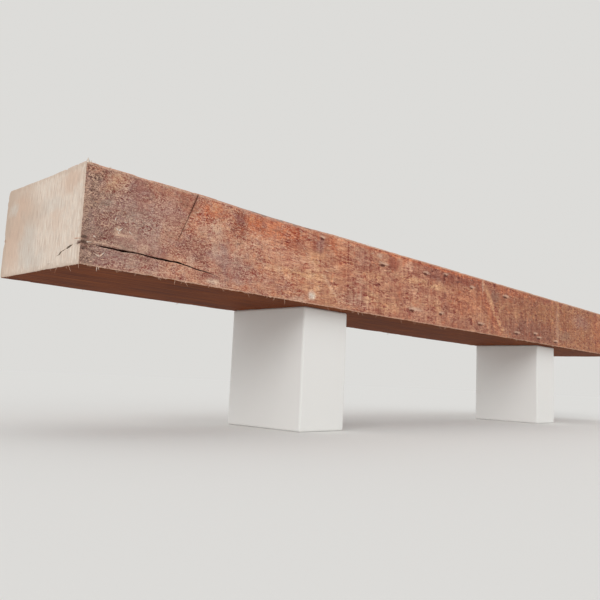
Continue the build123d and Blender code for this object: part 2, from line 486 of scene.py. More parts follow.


# Stains on the front side, and one painted shadow by the bottom arris: middle and half size along and
# up, the colour, and its strength
FRONT_STAINS_AND_SHADOW = (
    (1650, 60, 520, 120, "umber", 0.9),
    (1010, 70, 190, 110, "umber", 0.5),
    (1330, 80, 220, 110, "umber", 0.5),
    (1320, 26, 170, 34, "plum", 0.5),
    (1330, 20, 150, 22, "shade", 0.2),
    (500, 45, 270, 110, "tan", 0.4),
    (340, 70, 120, 60, "orange", 0.2),
    (46, 62, 60, 90, "mauve", 0.75),
    (126, 62, 36, 60, "mauve", 0.6),
    (230, 40, 56, 26, "mauve", 0.35),
    (50, 20, 62, 22, "grime", 0.5),
    (40, 85, 24, 50, "grime", 0.65),
    (42, 72, 26, 30, "plum", 0.2),
    (126, 66, 22, 16, "blush", 0.3),
    (80, 74, 26, 22, "ash", 0.65),
    (24, 82, 26, 9, "ash", 0.65),
    (110, 60, 20, 22, "ash", 0.45),
    (250, 72, 60, 18, "pale", 0.35),
    (12, 122, 18, 9, "orange", 0.7),
    (62, 100, 14, 16, "plum", 0.45),
    (84, 112, 18, 14, "plum", 0.65),
    (27, 124, 14, 6, "plum", 0.6),
    (60, 105, 18, 10, "plum", 0.35),
    (67, 123, 9, 5, "plum", 0.5),
    (22, 124, 13, 4, "shade", 0.15),
    (18, 115, 6, 4, "tan", 0.35),
    (9, 123, 10, 5, "orange", 0.55),
    (50, 86, 13, 16, "plum", 0.35),
    (50, 9, 12, 6, "blush", 0.25),
    (32, 48, 9, 8, "plum", 0.25),
    (96, 7, 14, 6, "end", 0.15),
    (34, 52, 18, 16, "plum", 0.25),
    (8, 50, 10, 18, "mauve", 0.6),
    (126, 96, 22, 22, "mauve", 0.35),
    (140, 66, 16, 20, "tan", 0.25),
    (146, 118, 16, 12, "oxblood", 0.35),
    (206, 114, 30, 17, "orange", 0.72),
    (212, 119, 11, 7, "tan", 0.55),
    (345, 113, 72, 17, "orange", 0.75),
    (386, 108, 14, 20, "orange", 0.6),
    (372, 100, 30, 7, "oxblood", 0.35),
    (288, 115, 16, 12, "orange", 0.9),
    (286, 117, 9, 6, "tan", 0.5),
    (259, 111, 13, 20, "oxblood", 0.95),
    (307, 112, 6, 12, "oxblood", 0.4),
    (392, 104, 22, 9, "oxblood", 0.45),
    (202, 87, 40, 8, "pale", 0.6),
    (172, 70, 13, 10, "plum", 0.7),
    (184, 50, 24, 15, "plum", 0.7),
    (222, 60, 20, 16, "mauve", 0.6),
    (262, 42, 34, 20, "mauve", 0.5),
    (218, 18, 16, 10, "plum", 0.75),
    (112, 18, 22, 8, "plum", 0.6),
    (222, 9, 18, 8, "pale", 0.9),
    (140, 5, 50, 7, "pale", 0.4),
    (30, 12, 40, 14, "mauve", 0.5),
    (330, 84, 60, 12, "blush", 0.5),
    (360, 36, 90, 14, "blush", 0.4),
    (330, 32, 44, 14, "plum", 0.3),
    (420, 54, 44, 28, "tan", 0.6),
    (400, 66, 60, 16, "blush", 0.6),
    (434, 112, 12, 17, "oxblood", 0.85),
    (452, 108, 9, 16, "mauve", 0.7),
    (482, 116, 18, 13, "orange", 0.65),
    (480, 110, 18, 14, "oxblood", 0.35),
    (444, 108, 26, 16, "oxblood", 0.35),
    (448, 86, 22, 10, "tan", 0.5),
    (520, 84, 24, 26, "orange", 0.35),
    (510, 113, 22, 15, "orange", 0.4),
    (598, 118, 9, 9, "oxblood", 0.5),
    # Painted shadow along the bottom arris
    (632, 6, 12, 8, "shade", 0.45),
    (572, 104, 22, 20, "mauve", 0.4),
    (570, 50, 14, 24, "mauve", 0.3),
    (604, 75, 36, 9, "tan", 0.7),
    (600, 93, 24, 12, "oxblood", 0.5),
    (560, 24, 46, 16, "ash", 0.5),
    (607, 30, 24, 16, "tan", 0.6),
    (660, 20, 40, 14, "tan", 0.5),
    (580, 16, 50, 14, "blush", 0.35),
    (570, 67, 40, 13, "blush", 0.3),
    (470, 20, 40, 18, "tan", 0.5),
    (636, 56, 26, 12, "oxblood", 0.4),
    (614, 100, 20, 10, "oxblood", 0.4),
    (677, 112, 20, 17, "oxblood", 0.95),
    (650, 112, 40, 14, "oxblood", 0.2),
    (712, 118, 10, 10, "orange", 0.7),
    (736, 114, 20, 10, "blush", 0.8),
    (742, 99, 26, 4, "oxblood", 0.6),
    (702, 52, 9, 24, "oxblood", 0.8),
    (767, 54, 8, 10, "blush", 0.6),
    (820, 9, 26, 8, "oxblood", 0.5),
    (780, 46, 60, 14, "tan", 0.4),
    (835, 110, 26, 16, "plum", 0.8),
    (815, 116, 60, 12, "oxblood", 0.5),
    (880, 112, 26, 17, "oxblood", 0.95),
    (874, 60, 14, 34, "plum", 0.45),
    (840, 46, 18, 18, "tan", 0.5),
    (960, 118, 120, 13, "oxblood", 0.95),
    (850, 110, 50, 18, "shade", 0.14),
    (1100, 110, 130, 20, "oxblood", 0.4),
    (1100, 110, 150, 20, "shade", 0.08),
    (960, 66, 90, 30, "orange", 0.4),
    (1000, 14, 90, 12, "plum", 0.35),
    (1108, 96, 22, 22, "grime", 0.6),
    (1240, 108, 150, 22, "oxblood", 0.3),
    (1240, 121, 130, 8, "orange", 0.45),
    (1320, 70, 100, 70, "shade", 0.13),
    (1420, 124, 60, 7, "oxblood", 0.8),
    (1228, 62, 26, 12, "tan", 0.35),
    (1560, 34, 50, 16, "grime", 0.4),
    (1690, 88, 60, 20, "mauve", 0.4),
    (1830, 70, 40, 50, "orange", 0.3),
)

# Bands on the front side, many of them aslant: as the stains, and how far they lean back as
# they rise, per unit of height
FRONT_BANDS = (
    (412, 56, 84, 7, "tan", 0.8, 0.0),
    (790, 85, 100, 8, "tan", 0.75, 0.0),
    (434, 20, 9, 8, "end", 0.9, 0.0),
    (1084, 60, 16, 62, "orange", 0.5, 0.95),
    (1112, 60, 12, 62, "tan", 1.0, 0.95),
    (466, 56, 11, 36, "tan", 0.7, 1.1),
    (482, 42, 6, 26, "pale", 0.4, 1.1),
    (490, 42, 3.2, 25, "oxblood", 1.0, 1.1),
    (150, 98, 15, 34, "plum", 0.4, -0.43),
    (182, 100, 12, 30, "orange", 0.5, -0.43),
    (42, 115, 12, 15, "tan", 0.5, -0.8),
    (52, 104, 4, 16, "pale", 0.3, -0.8),
    (800, 127.5, 300, 4, "orange", 0.8, 0.0),
    (25, 108, 3, 14, "oxblood", 0.6, -0.45),
)

# Small knots and pits on the front side: place along and up, and half length
FRONT_KNOTS = (
    (455, 118, 4),
    (637, 100, 9),
    (742, 22, 9),
    (792, 106, 7),
    (855, 26, 6),
    (873, 114, 6),
    (991, 102, 6),
    (1035, 20, 10),
    (1165, 102, 10),
    (1230, 15, 11),
    (1346, 22, 8),
    (1370, 13, 9),
    (1484, 11, 10),
)

# Pale scuffs on the front side: middle and half size along and up, and strength
FRONT_SCUFFS = (
    (4, 78, 5, 18, 0.3),
    (50, 53, 4, 4, 1.0),
    (56, 47, 12, 2, 0.8),
    (72, 50, 9, 10, 0.25),
    (92, 36, 8, 5, 0.6),
    (170, 30, 6, 10, 0.5),
    (216, 55, 8, 8, 0.4),
    (400, 4, 18, 5, 0.7),
    (1048, 114, 1.8, 20, 1.3),
    (30, 31, 30, 1.4, 0.7),
    (762, 27, 22, 4, 0.6),
    (628, 118, 8, 5, 0.7),
    (1500, 60, 12, 50, 0.3),
)

# Painted shade of the hollows where the arris is broken out around the check's mouth: as the stains
BROKEN_CORNER_SHADE = (
    (6, 28, 9, 6, "shade", 0.35),
    (3, 35, 5, 1.7, "pore", 0.7),
    (4, 29, 6, 2.2, "pore", 0.6),
    (3, 21, 4, 1.6, "pore", 0.5),
)


def stain_and_shadow_colours(lattice, colours):
    """Stains, and a painted shadow by the bottom arris, laid one over another: their colour, and how
    far they cover.

    The rear side has the same ones, fainter, from the far end.
    """
    rear_share, band_sway = 0.7, 0.35
    place = lattice.place
    share = np.select([lattice.on_front, lattice.on_rear], [1.0, rear_share], 0.0)
    x = np.where(lattice.on_rear, LENGTH - place[:, 0], place[:, 0])
    sway_x = 10 * rough(place, (26, 26, 26), 1.1, 4)
    sway_z = 7 * rough(place, (26, 26, 26), 4.2, 4)
    stains_and_shadow = np.zeros((len(place), 4))
    stains_and_shadow[:, :3] = colours.heartwood[:3]
    rows = [(*stain, 0.0, 1.0) for stain in FRONT_STAINS_AND_SHADOW]
    rows += [(*band, band_sway) for band in FRONT_BANDS]
    for x0, z0, half_x, half_z, name, strength, lean, sway in rows:
        up = place[:, 2] + sway * sway_z - z0
        along = x + sway * sway_x - x0 + lean * up
        reach = np.hypot(along / half_x, up / half_z)
        mask = (1 - ease(0.45, 1.55, reach)) * strength * share
        colour = np.array([*getattr(colours, name)[:3], 1.0])
        stains_and_shadow += (colour - stains_and_shadow) * mask[:, None]
    return stains_and_shadow


def paint(mesh, name, kind, values):
    """Writes values at the vertices for the materials to read."""
    layer = mesh.attributes.new(name, kind, "POINT")
    field = "color" if kind == "FLOAT_COLOR" else "value"
    layer.data.foreach_set(field, values.astype(np.float32).ravel())


def new_piece(name, points, faces, materials, finishes=None):
    """A mesh object in the row frame, from points in millimetres on the beam."""
    mesh = bpy.data.meshes.new(name)
    metres = np.array(points) * MM + np.array(LOW)
    mesh.from_pydata(metres.tolist(), [], [list(map(int, face)) for face in faces])
    for material in materials:
        mesh.materials.append(material)
    if finishes is not None:
        mesh.polygons.foreach_set("material_index", np.array(finishes, np.int32))
    mesh.shade_smooth()
    mesh.update()
    return link_object(name, mesh)


def link_object(name, data):
    """A new object in the scene."""
    made = bpy.data.objects.new(name, data)
    bpy.context.scene.collection.objects.link(made)
    return made


# Edges of the timber that turn by more than this many degrees are shaded sharp
SHARP_ANGLE = 50


def make_timber(marks, relief, colours):
    """The whole beam as one dense mesh, standing for the plain solid."""
    lattice = Lattice(marks, relief)
    flat = follow_marks(lattice, marks)
    rounded, normal = round_over(flat, arris_radius(flat, relief))
    depth = face_relief(flat, normal, relief) + step_relief(flat, lattice, marks)
    # Painted shade in the torn slit by the saw step and inside the open check, kept on the vertices
    # for the finishes
    crevice_shade = step_shade(flat, lattice, marks)
    place = rounded - normal * depth[:, None]
    cut_by_log(place, marks)
    press_hollow(place, marks)
    crevice_shade[open_check(place, lattice, marks)] = 1
    faces, finishes = lattice.quads()
    materials = [make(colours) for make in (side_finish, end_finish, top_finish, bed_finish)]
    timber = new_piece("timber", out_of_square(place), faces, materials, finishes)
    timber.data.set_sharp_from_angle(angle=math.radians(SHARP_ANGLE))
    paint(timber.data, "crevice_shade", "FLOAT", crevice_shade)
    paint(timber.data, "stains_and_shadow", "FLOAT_COLOR", stain_and_shadow_colours(lattice, colours))
    return timber


def node(tree, kind, inputs=(), **settings):
    """A shader node with its settings, and its inputs filled from sockets or plain values."""
    made = tree.nodes.new("ShaderNode" + kind)
    for name, value in settings.items():
        setattr(made, name, value)
    for name, value in dict(inputs).items():
        if isinstance(value, bpy.types.NodeSocket):
            tree.links.new(value, made.inputs[name])
        else:
            made.inputs[name].default_value = value
    return made


def calc(tree, operation, first, second=0.0, third=0.0):
    """Result of a sum on numbers that change over the surface."""
    return node(tree, "Math", {0: first, 1: second, 2: third}, operation=operation).outputs[0]


def times(tree, first, second):
    """Product of two numbers that change over the surface."""
    return calc(tree, "MULTIPLY", first, second)


def widened(tree, value, share):
    """A value about 1, with its distance from 1 multiplied by a share."""
    return calc(tree, "MULTIPLY_ADD", calc(tree, "SUBTRACT", value, 1.0), share, 1.0)


def vector_calc(tree, operation, first, second=(0, 0, 0)):
    """Result of a sum on vectors."""
    made = node(tree, "VectorMath", {0: first, 1: second}, operation=operation)
    return made.outputs["Value" if operation == "LENGTH" else "Vector"]


def between(tree, value, low, high, to_low=0.0, to_high=1.0):
    """A value smoothly carried from one range to another."""
    inputs = {"Value": value, "From Min": low, "From Max": high, "To Min": to_low, "To Max": to_high}
    return node(tree, "MapRange", inputs, interpolation_type="SMOOTHSTEP").outputs["Result"]


def run(tree, share, first, last):
    """A value that runs smoothly from a first to a last one as a share goes from 0 to 1."""
    return between(tree, share, 0.0, 1.0, first, last)


def blend(tree, share, under, over, how="MIX"):
    """Colour laid over another by a share."""
    inputs = {"Factor": share, 6: under, 7: over}
    return node(tree, "Mix", inputs, data_type="RGBA", blend_type=how).outputs[2]


def lay_by(tree, value, colour, *layers):
    """Lays colours one over another, each as far as a value says.

    A layer has two bounds of the value, the colour's cover at each of them, and the colour.
    """
    for low, high, at_low, at_high, over in layers:
        colour = blend(tree, between(tree, value, low, high, at_low, at_high), colour, over)
    return colour


def shaded(tree, colour, brightness, red_share=0.62):
    """Colour made darker and redder, or paler, by a brightness that is 1 where it stays."""
    red = widened(tree, brightness, red_share)
    tint = node(tree, "CombineColor", {0: red, 1: brightness, 2: brightness}).outputs[0]
    return blend(tree, 1.0, colour, tint, "MULTIPLY")


def clouds(tree, place, scale, detail, roughness=0.5):
    """Outputs of a noise texture."""
    inputs = {"Vector": place, "Scale": scale, "Detail": detail, "Roughness": roughness}
    return node(tree, "TexNoise", inputs).outputs


def stretched_noise(tree, place, stretch, detail):
    """Noise that is drawn out by a length along each axis."""
    return clouds(tree, vector_calc(tree, "DIVIDE", place, stretch), 1.0, detail)["Fac"]


def swayed(tree, place, size, amount):
    """Places moved about by noise of a size, by an amount along each axis."""
    sway = clouds(tree, place, 1 / size, 4.0, 0.6)["Color"]
    sway = vector_calc(tree, "SUBTRACT", sway, (0.5, 0.5, 0.5))
    return vector_calc(tree, "ADD", place, vector_calc(tree, "MULTIPLY", sway, amount))


def fill_beam_place(tree, _):
    """Place on the beam in millimetres from its corner: plain, shivering a little, wandering far."""
    where = node(tree, "TexCoord").outputs["Object"]
    place = vector_calc(tree, "SUBTRACT", where, tuple(LOW))
    place = vector_calc(tree, "MULTIPLY", place, (1 / MM,) * 3)
    shiver = swayed(tree, place, 5.0, (12.0, 6.0, 6.0))
    wander = swayed(tree, place, 26.0, (70.0, 50.0, 50.0))
    return place, shiver, wander


def fill_patch(tree, given):
    """Soft-edged patch around a centre on the beam."""
    offset = vector_calc(tree, "SUBTRACT", given["Place"], given["Centre"])
    reach = vector_calc(tree, "LENGTH", vector_calc(tree, "DIVIDE", offset, given["Half Size"]))
    inner = calc(tree, "SUBTRACT", 1.0, given["Softness"])
    outer = calc(tree, "ADD", 1.0, given["Softness"])
    return [between(tree, reach, inner, outer, 1.0, 0.0)]


def fill_flecks(tree, given):
    """Torn grain: flecks of fibre of about one size, each with its own tone."""
    x, y, z = node(tree, "SeparateXYZ", {0: given["Place"]}).outputs
    slanted = calc(tree, "MULTIPLY_ADD", z, given["Slant"], x)
    along = calc(tree, "DIVIDE", slanted, given["Stretch"])
    flecks = node(tree, "CombineXYZ", {0: along, 1: y, 2: z}).outputs[0]
    scale = calc(tree, "DIVIDE", 1.0, given["Size"])
    flecks = node(tree, "VectorMath", {0: flecks, "Scale": scale}, operation="SCALE").outputs["Vector"]
    flecks = swayed(tree, flecks, 3.0, (1.0, 1.0, 1.0))
    cells = node(tree, "TexVoronoi", {"Vector": flecks, "Scale": 1.0}).outputs
    tone = node(tree, "SeparateColor", {0: cells["Color"]}).outputs[0]
    crown = between(tree, cells["Distance"], 0.1, 0.8, 1.0, 0.0)
    return tone, times(tree, times(tree, crown, tone), given["Size"])


def fill_saw_lines(tree, given):
    """Fine saw lines across a face, uneven in spacing and strength, and broad bands of them."""
    scaled = vector_calc(tree, "DIVIDE", given["Place"], given["Spacing"])
    return clouds(tree, scaled, 1.0, 2.0, 0.6)["Fac"], clouds(tree, scaled, 0.16, 3.0, 0.6)["Fac"]


def fill_arris(tree, given):
    """Nearness to an arris of the beam, from 1 on it to 0 at a width from it."""
    other = vector_calc(tree, "SUBTRACT", tuple(SIZE), given["Place"])
    nearest = vector_calc(tree, "MINIMUM", given["Place"], other)
    x, y, z = node(tree, "SeparateXYZ", {0: nearest}).outputs
    greater = calc(tree, "MAXIMUM", x, y)
    lesser = calc(tree, "MINIMUM", x, y)
    middle = calc(tree, "MAXIMUM", lesser, calc(tree, "MINIMUM", greater, z))
    sway = between(tree, clouds(tree, given["Place"], 0.14, 4.0)["Fac"], 0.3, 0.7, 0.2, 1.5)
    distance = calc(tree, "DIVIDE", middle, times(tree, given["Reach"], sway))
    return [between(tree, distance, 0.2, 1.0, 1.0, 0.0)]


# The shared node groups: inputs with their defaults, outputs with their kinds, and what fills each
CORNER = (0, 0, 0)
EFFECTS = {
    "Beam Place": (
        {},
        {"Place": "Vector", "Shiver": "Vector", "Wander": "Vector"},
        fill_beam_place,
    ),
    "Soft Patch": (
        {"Place": CORNER, "Centre": CORNER, "Half Size": (50, 50, 50), "Softness": 0.6},
        {"Mask": "Float"},
        fill_patch,
    ),
    "Torn Grain": (
        {"Place": CORNER, "Size": 2.0, "Stretch": 2.0, "Slant": 0.0},
        {"Tone": "Float", "Height": "Float"},
        fill_flecks,
    ),
    "Saw Lines": (
        {"Place": CORNER, "Spacing": (2.0, 400.0, 260.0)},
        {"Line": "Float", "Band": "Float"},
        fill_saw_lines,
    ),
    "Arris": ({"Place": CORNER, "Reach": 8.0}, {"Near": "Float"}, fill_arris),
}


def build_group(name, inputs, outputs, fill):
    """A node group with named sockets, filled by a function that gives its outputs' values."""
    group = bpy.data.node_groups.new(name, "ShaderNodeTree")
    for label, default in inputs.items():
        kind = "NodeSocketVector" if isinstance(default, tuple) else "NodeSocketFloat"
        group.interface.new_socket(label, in_out="INPUT", socket_type=kind).default_value = default
    for label, kind in outputs.items():
        group.interface.new_socket(label, in_out="OUTPUT", socket_type="NodeSocket" + kind)
    values = fill(group, group.nodes.new("NodeGroupInput").outputs)
    out = group.nodes.new("NodeGroupOutput")
    for label, value in zip(outputs, values):
        group.links.new(value, out.inputs[label])
    return group


def effect(tree, name, inputs=()):
    """Outputs of a shared node group, which is built where it is first used."""
    group = bpy.data.node_groups.get(name) or build_group(name, *EFFECTS[name])
    return node(tree, "Group", inputs, node_tree=group).outputs


def patch(tree, place, centre, half_size, softness=0.6):
    """Mask of a soft-edged patch."""
    inputs = {"Place": place, "Centre": centre, "Half Size": half_size, "Softness": softness}
    return effect(tree, "Soft Patch", inputs)["Mask"]


def saw_lines(tree, place, spacing):
    """Fine saw lines and broad bands of them, at a spacing along each axis."""
    return effect(tree, "Saw Lines", {"Place": place, "Spacing": spacing})


def near_arris(tree, place, reach):
    """Mask of what lies within a reach of an arris."""
    return effect(tree, "Arris", {"Place": place, "Reach": reach})["Near"]


def painted(tree, name):
    """Outputs of a layer that is painted on the timber's vertices."""
    return node(tree, "Attribute", attribute_name=name).outputs


def new_material(name, specular=0.3):
    """A material with a Principled BSDF, and its tree."""
    material = bpy.data.materials.new(name)
    material.use_nodes = True
    shader = material.node_tree.nodes["Principled BSDF"]
    shader.inputs["Specular IOR Level"].default_value = specular
    return material, material.node_tree


def finish_surface(material, colour, roughness, height, depth):
    """Joins a colour, a roughness and a height, bumped by a depth in millimetres, to the shader."""
    tree = material.node_tree
    bump = node(tree, "Bump", {"Height": height, "Distance": depth * MM, "Strength": 1.0})
    sockets = tree.nodes["Principled BSDF"].inputs
    tree.links.new(colour, sockets["Base Color"])
    tree.links.new(roughness, sockets["Roughness"])
    tree.links.new(bump.outputs["Normal"], sockets["Normal"])
    return material


# Where along the side its looks change from the near end's to those further along
GRAIN_CHANGES = (100.0, 750.0)
COOL_PATCHES_CHANGE = (240.0, 500.0)
WARM_PATCHES_CHANGE = (110.0, 300.0)
SCORES_STRAIGHTEN = (50.0, 250.0)

# Middle and half size of the grimy margin by the near end
MARGIN = ((0.0, 0.0, 65.0), (24.0, 500.0, 110.0))

# How far noise is drawn out along, across and up
SIDE_TONES = (90.0, 40.0, 36.0)
SIDE_TEARING = (44.0, 40.0, 26.0)
END_MOTTLE = (400.0, 7.0, 9.0)
TOP_TONES = (260.0, 26.0, 26.0)
TOP_CRACKS = (120.0, 2.6, 2.6)
BED_STREAKS = (140.0, 3.0, 3.0)

# Spacing of saw lines along, across and up
SIDE_SAW = (6.0, 500.0, 90.0)
SIDE_SCORES = (1.3, 500.0, 16.0)
END_SAW = (400.0, 1.3, 24.0)
END_WIDE_SAW = (400.0, 3.0, 22.0)

# Reach from the arrises of the pale band on a side, partly worn fibre and partly painted highlight,
# and of the dirty or pale wear on an end and the top
SIDE_WEAR_AND_HIGHLIGHT, END_WEAR, TOP_WEAR = 3.0, 9.0, 13.0

# Half sizes of patches that stay on the front side, go right through, or run all along the beam
FRONT_ONLY, THROUGH, ALL_ALONG = 60.0, 500.0, 4000.0

# Torn grain on the sides: size of a fleck, its stretch along the grain, its slant across it,
# and how much darker or paler than the wood it may be near the near end and further along
GRAIN_LAYERS = (
    (0.9, 2.2, 0.0, 0.8, 0.5),
    (2.0, 3.2, 0.4, 0.5, 0.72),
    (4.5, 3.0, -0.5, 0.34, 0.75),
    (12.0, 1.8, 0.5, 0.22, 0.34),
)

# Where the grain is torn most: middle and half size along and up, and how much more
ROUGHEST = (
    (36, 110, 28, 20, 0.7),
    (240, 65, 150, 300, 0.22),
)


def lay_marks(tree, place, colour, marks, colours, softness, broken=1.0):
    """Lays soft patches over a colour on the front side, and gives their masks too."""
    masks = []
    for x, z, half_x, half_z, name, strength in marks:
        mask = patch(tree, place, (x, 0.0, z), (half_x, FRONT_ONLY, half_z), softness)
        mask = times(tree, mask, times(tree, strength, broken))
        colour = blend(tree, mask, colour, getattr(colours, name))
        masks.append(mask)
    return colour, masks


def torn_grain(tree, place, layers, far_along):
    """Brightness of the flecks, about 1 on average, with their height and the finest's tone."""
    brightness, height, tones = 1.0, 0.0, []
    for size, stretch, slant, near_contrast, far_contrast in layers:
        longer = run(tree, far_along, stretch * 0.7, stretch)
        inputs = {"Place": place, "Size": size, "Stretch": longer, "Slant": slant}
        flecks = effect(tree, "Torn Grain", inputs)
        contrast = run(tree, far_along, near_contrast, far_contrast)
        tone = calc(tree, "SUBTRACT", flecks["Tone"], 0.5)
        brightness = calc(tree, "MULTIPLY_ADD", tone, contrast, brightness)
        height = calc(tree, "ADD", flecks["Height"], height)
        tones.append(flecks["Tone"])
    return brightness, height, tones[0]


def side_tones(tree, place, along, margin, colours):
    """Colour of the side under its grain: broad tones, stains and a painted shadow, grime by the end
    and mottling.
    """
    broad = stretched_noise(tree, place, SIDE_TONES, 5.0)
    redder = (0.36, 0.56, 0.5, 0.0, colours.oxblood)
    paler = (0.5, 0.68, 0.0, 0.4, colours.blush)
    colour = lay_by(tree, broad, colours.heartwood, redder, paler)
    stains_and_shadow = painted(tree, "stains_and_shadow")
    colour = blend(tree, stains_and_shadow["Alpha"], colour, stains_and_shadow["Color"])
    colour = blend(tree, times(tree, margin, 0.7), colour, colours.grime)
    mottle = clouds(tree, place, 1 / 15, 3.0)["Fac"]
    cooler = blend(tree, between(tree, along, *COOL_PATCHES_CHANGE), colours.mauve, colours.oxblood)
    warmer = blend(tree, between(tree, along, *WARM_PATCHES_CHANGE), colours.plum, colours.orange)
    return lay_by(tree, mottle, colour, (0.38, 0.48, 0.3, 0.0, cooler), (0.54, 0.66, 0.0, 0.3, warmer))


def torn_share(tree, place):
    """How strongly the side's grain is torn: about 1, and more in its roughest places."""
    torn = stretched_noise(tree, place, SIDE_TEARING, 3.0)
    torn = between(tree, torn, 0.38, 0.6, 0.55, 1.3)
    for x, z, half_x, half_z, more in ROUGHEST:
        mask = patch(tree, place, (x, 0.0, z), (half_x, THROUGH, half_z))
        torn = calc(tree, "MULTIPLY_ADD", mask, more, torn)
    return torn


def side_scores(tree, along, up, margin):
    """Fine scores across the side, which lean more towards the near end, about 0 on average."""
    lean = between(tree, along, *SCORES_STRAIGHTEN, -0.45, 0.0)
    aslant = calc(tree, "MULTIPLY_ADD", up, lean, along)
    aslant = node(tree, "CombineXYZ", {0: aslant, 2: up}).outputs[0]
    line = saw_lines(tree, aslant, SIDE_SCORES)["Line"]
    return times(tree, calc(tree, "SUBTRACT", line, 0.5), run(tree, margin, 1.4, 1.9))


# Streaks along the grain of the side: length, height across it, and strength
SIDE_STREAKS = ((60.0, 3.0, 0.7), (22.0, 1.3, 1.3))


def side_damage(tree, place, colour, broken, colours):
    """Lays scuffs, knots and pits over the side's colour, with the painted shade of the broken corner,
    and gives where it is pitted too.
    """
    scuffs = [(x, z, a, b, "pale", strength) for x, z, a, b, strength in FRONT_SCUFFS]
    rims = [(x + size * 0.6, z + 4.0, size * 1.7, 3.0, "pale", 0.8) for x, z, size in FRONT_KNOTS]
    pits = [(x, z, size * 1.1, 2.5, "shade", 0.95) for x, z, size in FRONT_KNOTS]
    colour, _ = lay_marks(tree, place, colour, scuffs, colours, 0.6, broken)
    colour, _ = lay_marks(tree, place, colour, rims, colours, 0.5, broken)
    colour, masks = lay_marks(tree, place, colour, (*pits, *BROKEN_CORNER_SHADE), colours, 0.5)
    pitted = 0.0
    for mask in masks:
        pitted = calc(tree, "MAXIMUM", mask, pitted)
    return colour, pitted


def side_finish(colours):
    """Rough-sawn side: red-brown with mauve, orange and tan patches and torn pale flecks."""
    material, tree = new_material("sawn_side")
    where = effect(tree, "Beam Place")
    place = where["Place"]
    along, across, up = node(tree, "SeparateXYZ", {0: place}).outputs
    far_along = between(tree, along, *GRAIN_CHANGES)
    margin = patch(tree, where["Wander"], *MARGIN)
    colour = side_tones(tree, place, along, margin, colours)

    torn = torn_share(tree, place)
    brightness, height, finest = torn_grain(tree, place, GRAIN_LAYERS, far_along)
    brightness = widened(tree, brightness, torn)
    saw = saw_lines(tree, place, SIDE_SAW)
    lines = calc(tree, "ADD", saw["Line"], times(tree, saw["Band"], 1.3))
    lines = times(tree, calc(tree, "SUBTRACT", lines, 1.15), run(tree, far_along, 0.4, 1.3))
    brightness = calc(tree, "ADD", brightness, lines)
    brightness = calc(tree, "ADD", side_scores(tree, along, up, margin), brightness)
    for length, height_across, share in SIDE_STREAKS:
        streaks = stretched_noise(tree, place, (length, height_across, height_across), 4.0)
        darker = calc(tree, "SUBTRACT", brightness, share / 2)
        brightness = calc(tree, "MULTIPLY_ADD", streaks, share, darker)
    colour = shaded(tree, colour, brightness, run(tree, margin, 0.62, 0.9))

    dry = times(tree, between(tree, finest, 0.6, 0.95), run(tree, far_along, 0.5, 0.3))
    colour = blend(tree, times(tree, dry, torn), colour, colours.pale)
    colour = lay_by(tree, finest, colour, (0.05, 0.25, 0.25, 0.0, colours.oxblood))
    # A pale band along the long arrises, broken into patches: partly worn fibre, partly painted
    # highlight where they catch the light
    section = node(tree, "CombineXYZ", {0: LENGTH / 2, 1: across, 2: up}).outputs[0]
    broken = between(tree, finest, 0.1, 0.55, 0.35, 1.0)
    by_arris = times(tree, near_arris(tree, section, SIDE_WEAR_AND_HIGHLIGHT), times(tree, broken, 0.7))
    colour = blend(tree, by_arris, colour, colours.pale)
    colour, pitted = side_damage(tree, where["Shiver"], colour, broken, colours)
    # Painted shade in the open check and the torn slit: dark brown at their edges, near black where
    # deepest
    edge, deep = (0.0, 0.11, 0.0, 0.85, colours.shade), (0.07, 0.25, 0.0, 1.0, colours.pore)
    colour = lay_by(tree, painted(tree, "crevice_shade")["Fac"], colour, edge, deep)

    height = calc(tree, "MULTIPLY_ADD", saw["Line"], far_along, height)
    height = calc(tree, "MULTIPLY_ADD", pitted, -0.6, height)
    return finish_surface(material, colour, run(tree, finest, 0.65, 0.85), height, 0.35)


# Soft patches on the cut ends: middle and half size across and up, the colour, and its strength
END_STAINS = (
    (206, 86, 64, 56, "end_edge", 0.75),
    (236, 60, 26, 160, "end_line", 0.7),
    (128, 78, 26, 22, "end_edge", 0.35),
    (194, 44, 26, 40, "end_warm", 0.6),
    (178, 98, 26, 18, "end_warm", 0.6),
    (34, 114, 30, 13, "end_warm", 0.7),
    (66, 66, 12, 18, "end_warm", 0.4),
    (146, 36, 26, 30, "end_cool", 0.7),
    (122, 14, 30, 10, "end_cool", 0.6),
    (200, 102, 12, 10, "end_cool", 0.7),
    (80, 86, 34, 10, "end_cool", 0.4),
)


